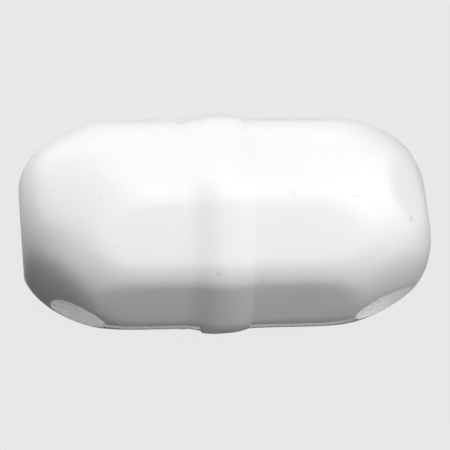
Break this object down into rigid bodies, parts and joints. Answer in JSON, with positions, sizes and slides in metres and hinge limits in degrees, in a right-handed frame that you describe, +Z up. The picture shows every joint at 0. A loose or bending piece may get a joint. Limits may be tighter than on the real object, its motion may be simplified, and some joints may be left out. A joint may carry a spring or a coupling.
{
  "type": "magnetic stir bar",
  "caption": "Eight-sided white stir bar with rounded ends and a low eight-sided pivot ring around its middle, a rod magnet sealed inside its moulded jacket.",
  "frame": {"origin": "the point of the resting surface under the middle of the bar, which the pivot ring touches", "axes": "+X along the bar towards the ring's long side, +Z up, square to a flat"},
  "size_m": [0.016, 0.0084, 0.0084],
  "materials": {
    "ptfe": "smooth waxy satin",
    "magnet": "ground grey cast alloy"
  },
  "bodies": {
    "root": {"ptfe_jacket": "ptfe", "bar_magnet": "magnet"}
  },
  "joints": []
}
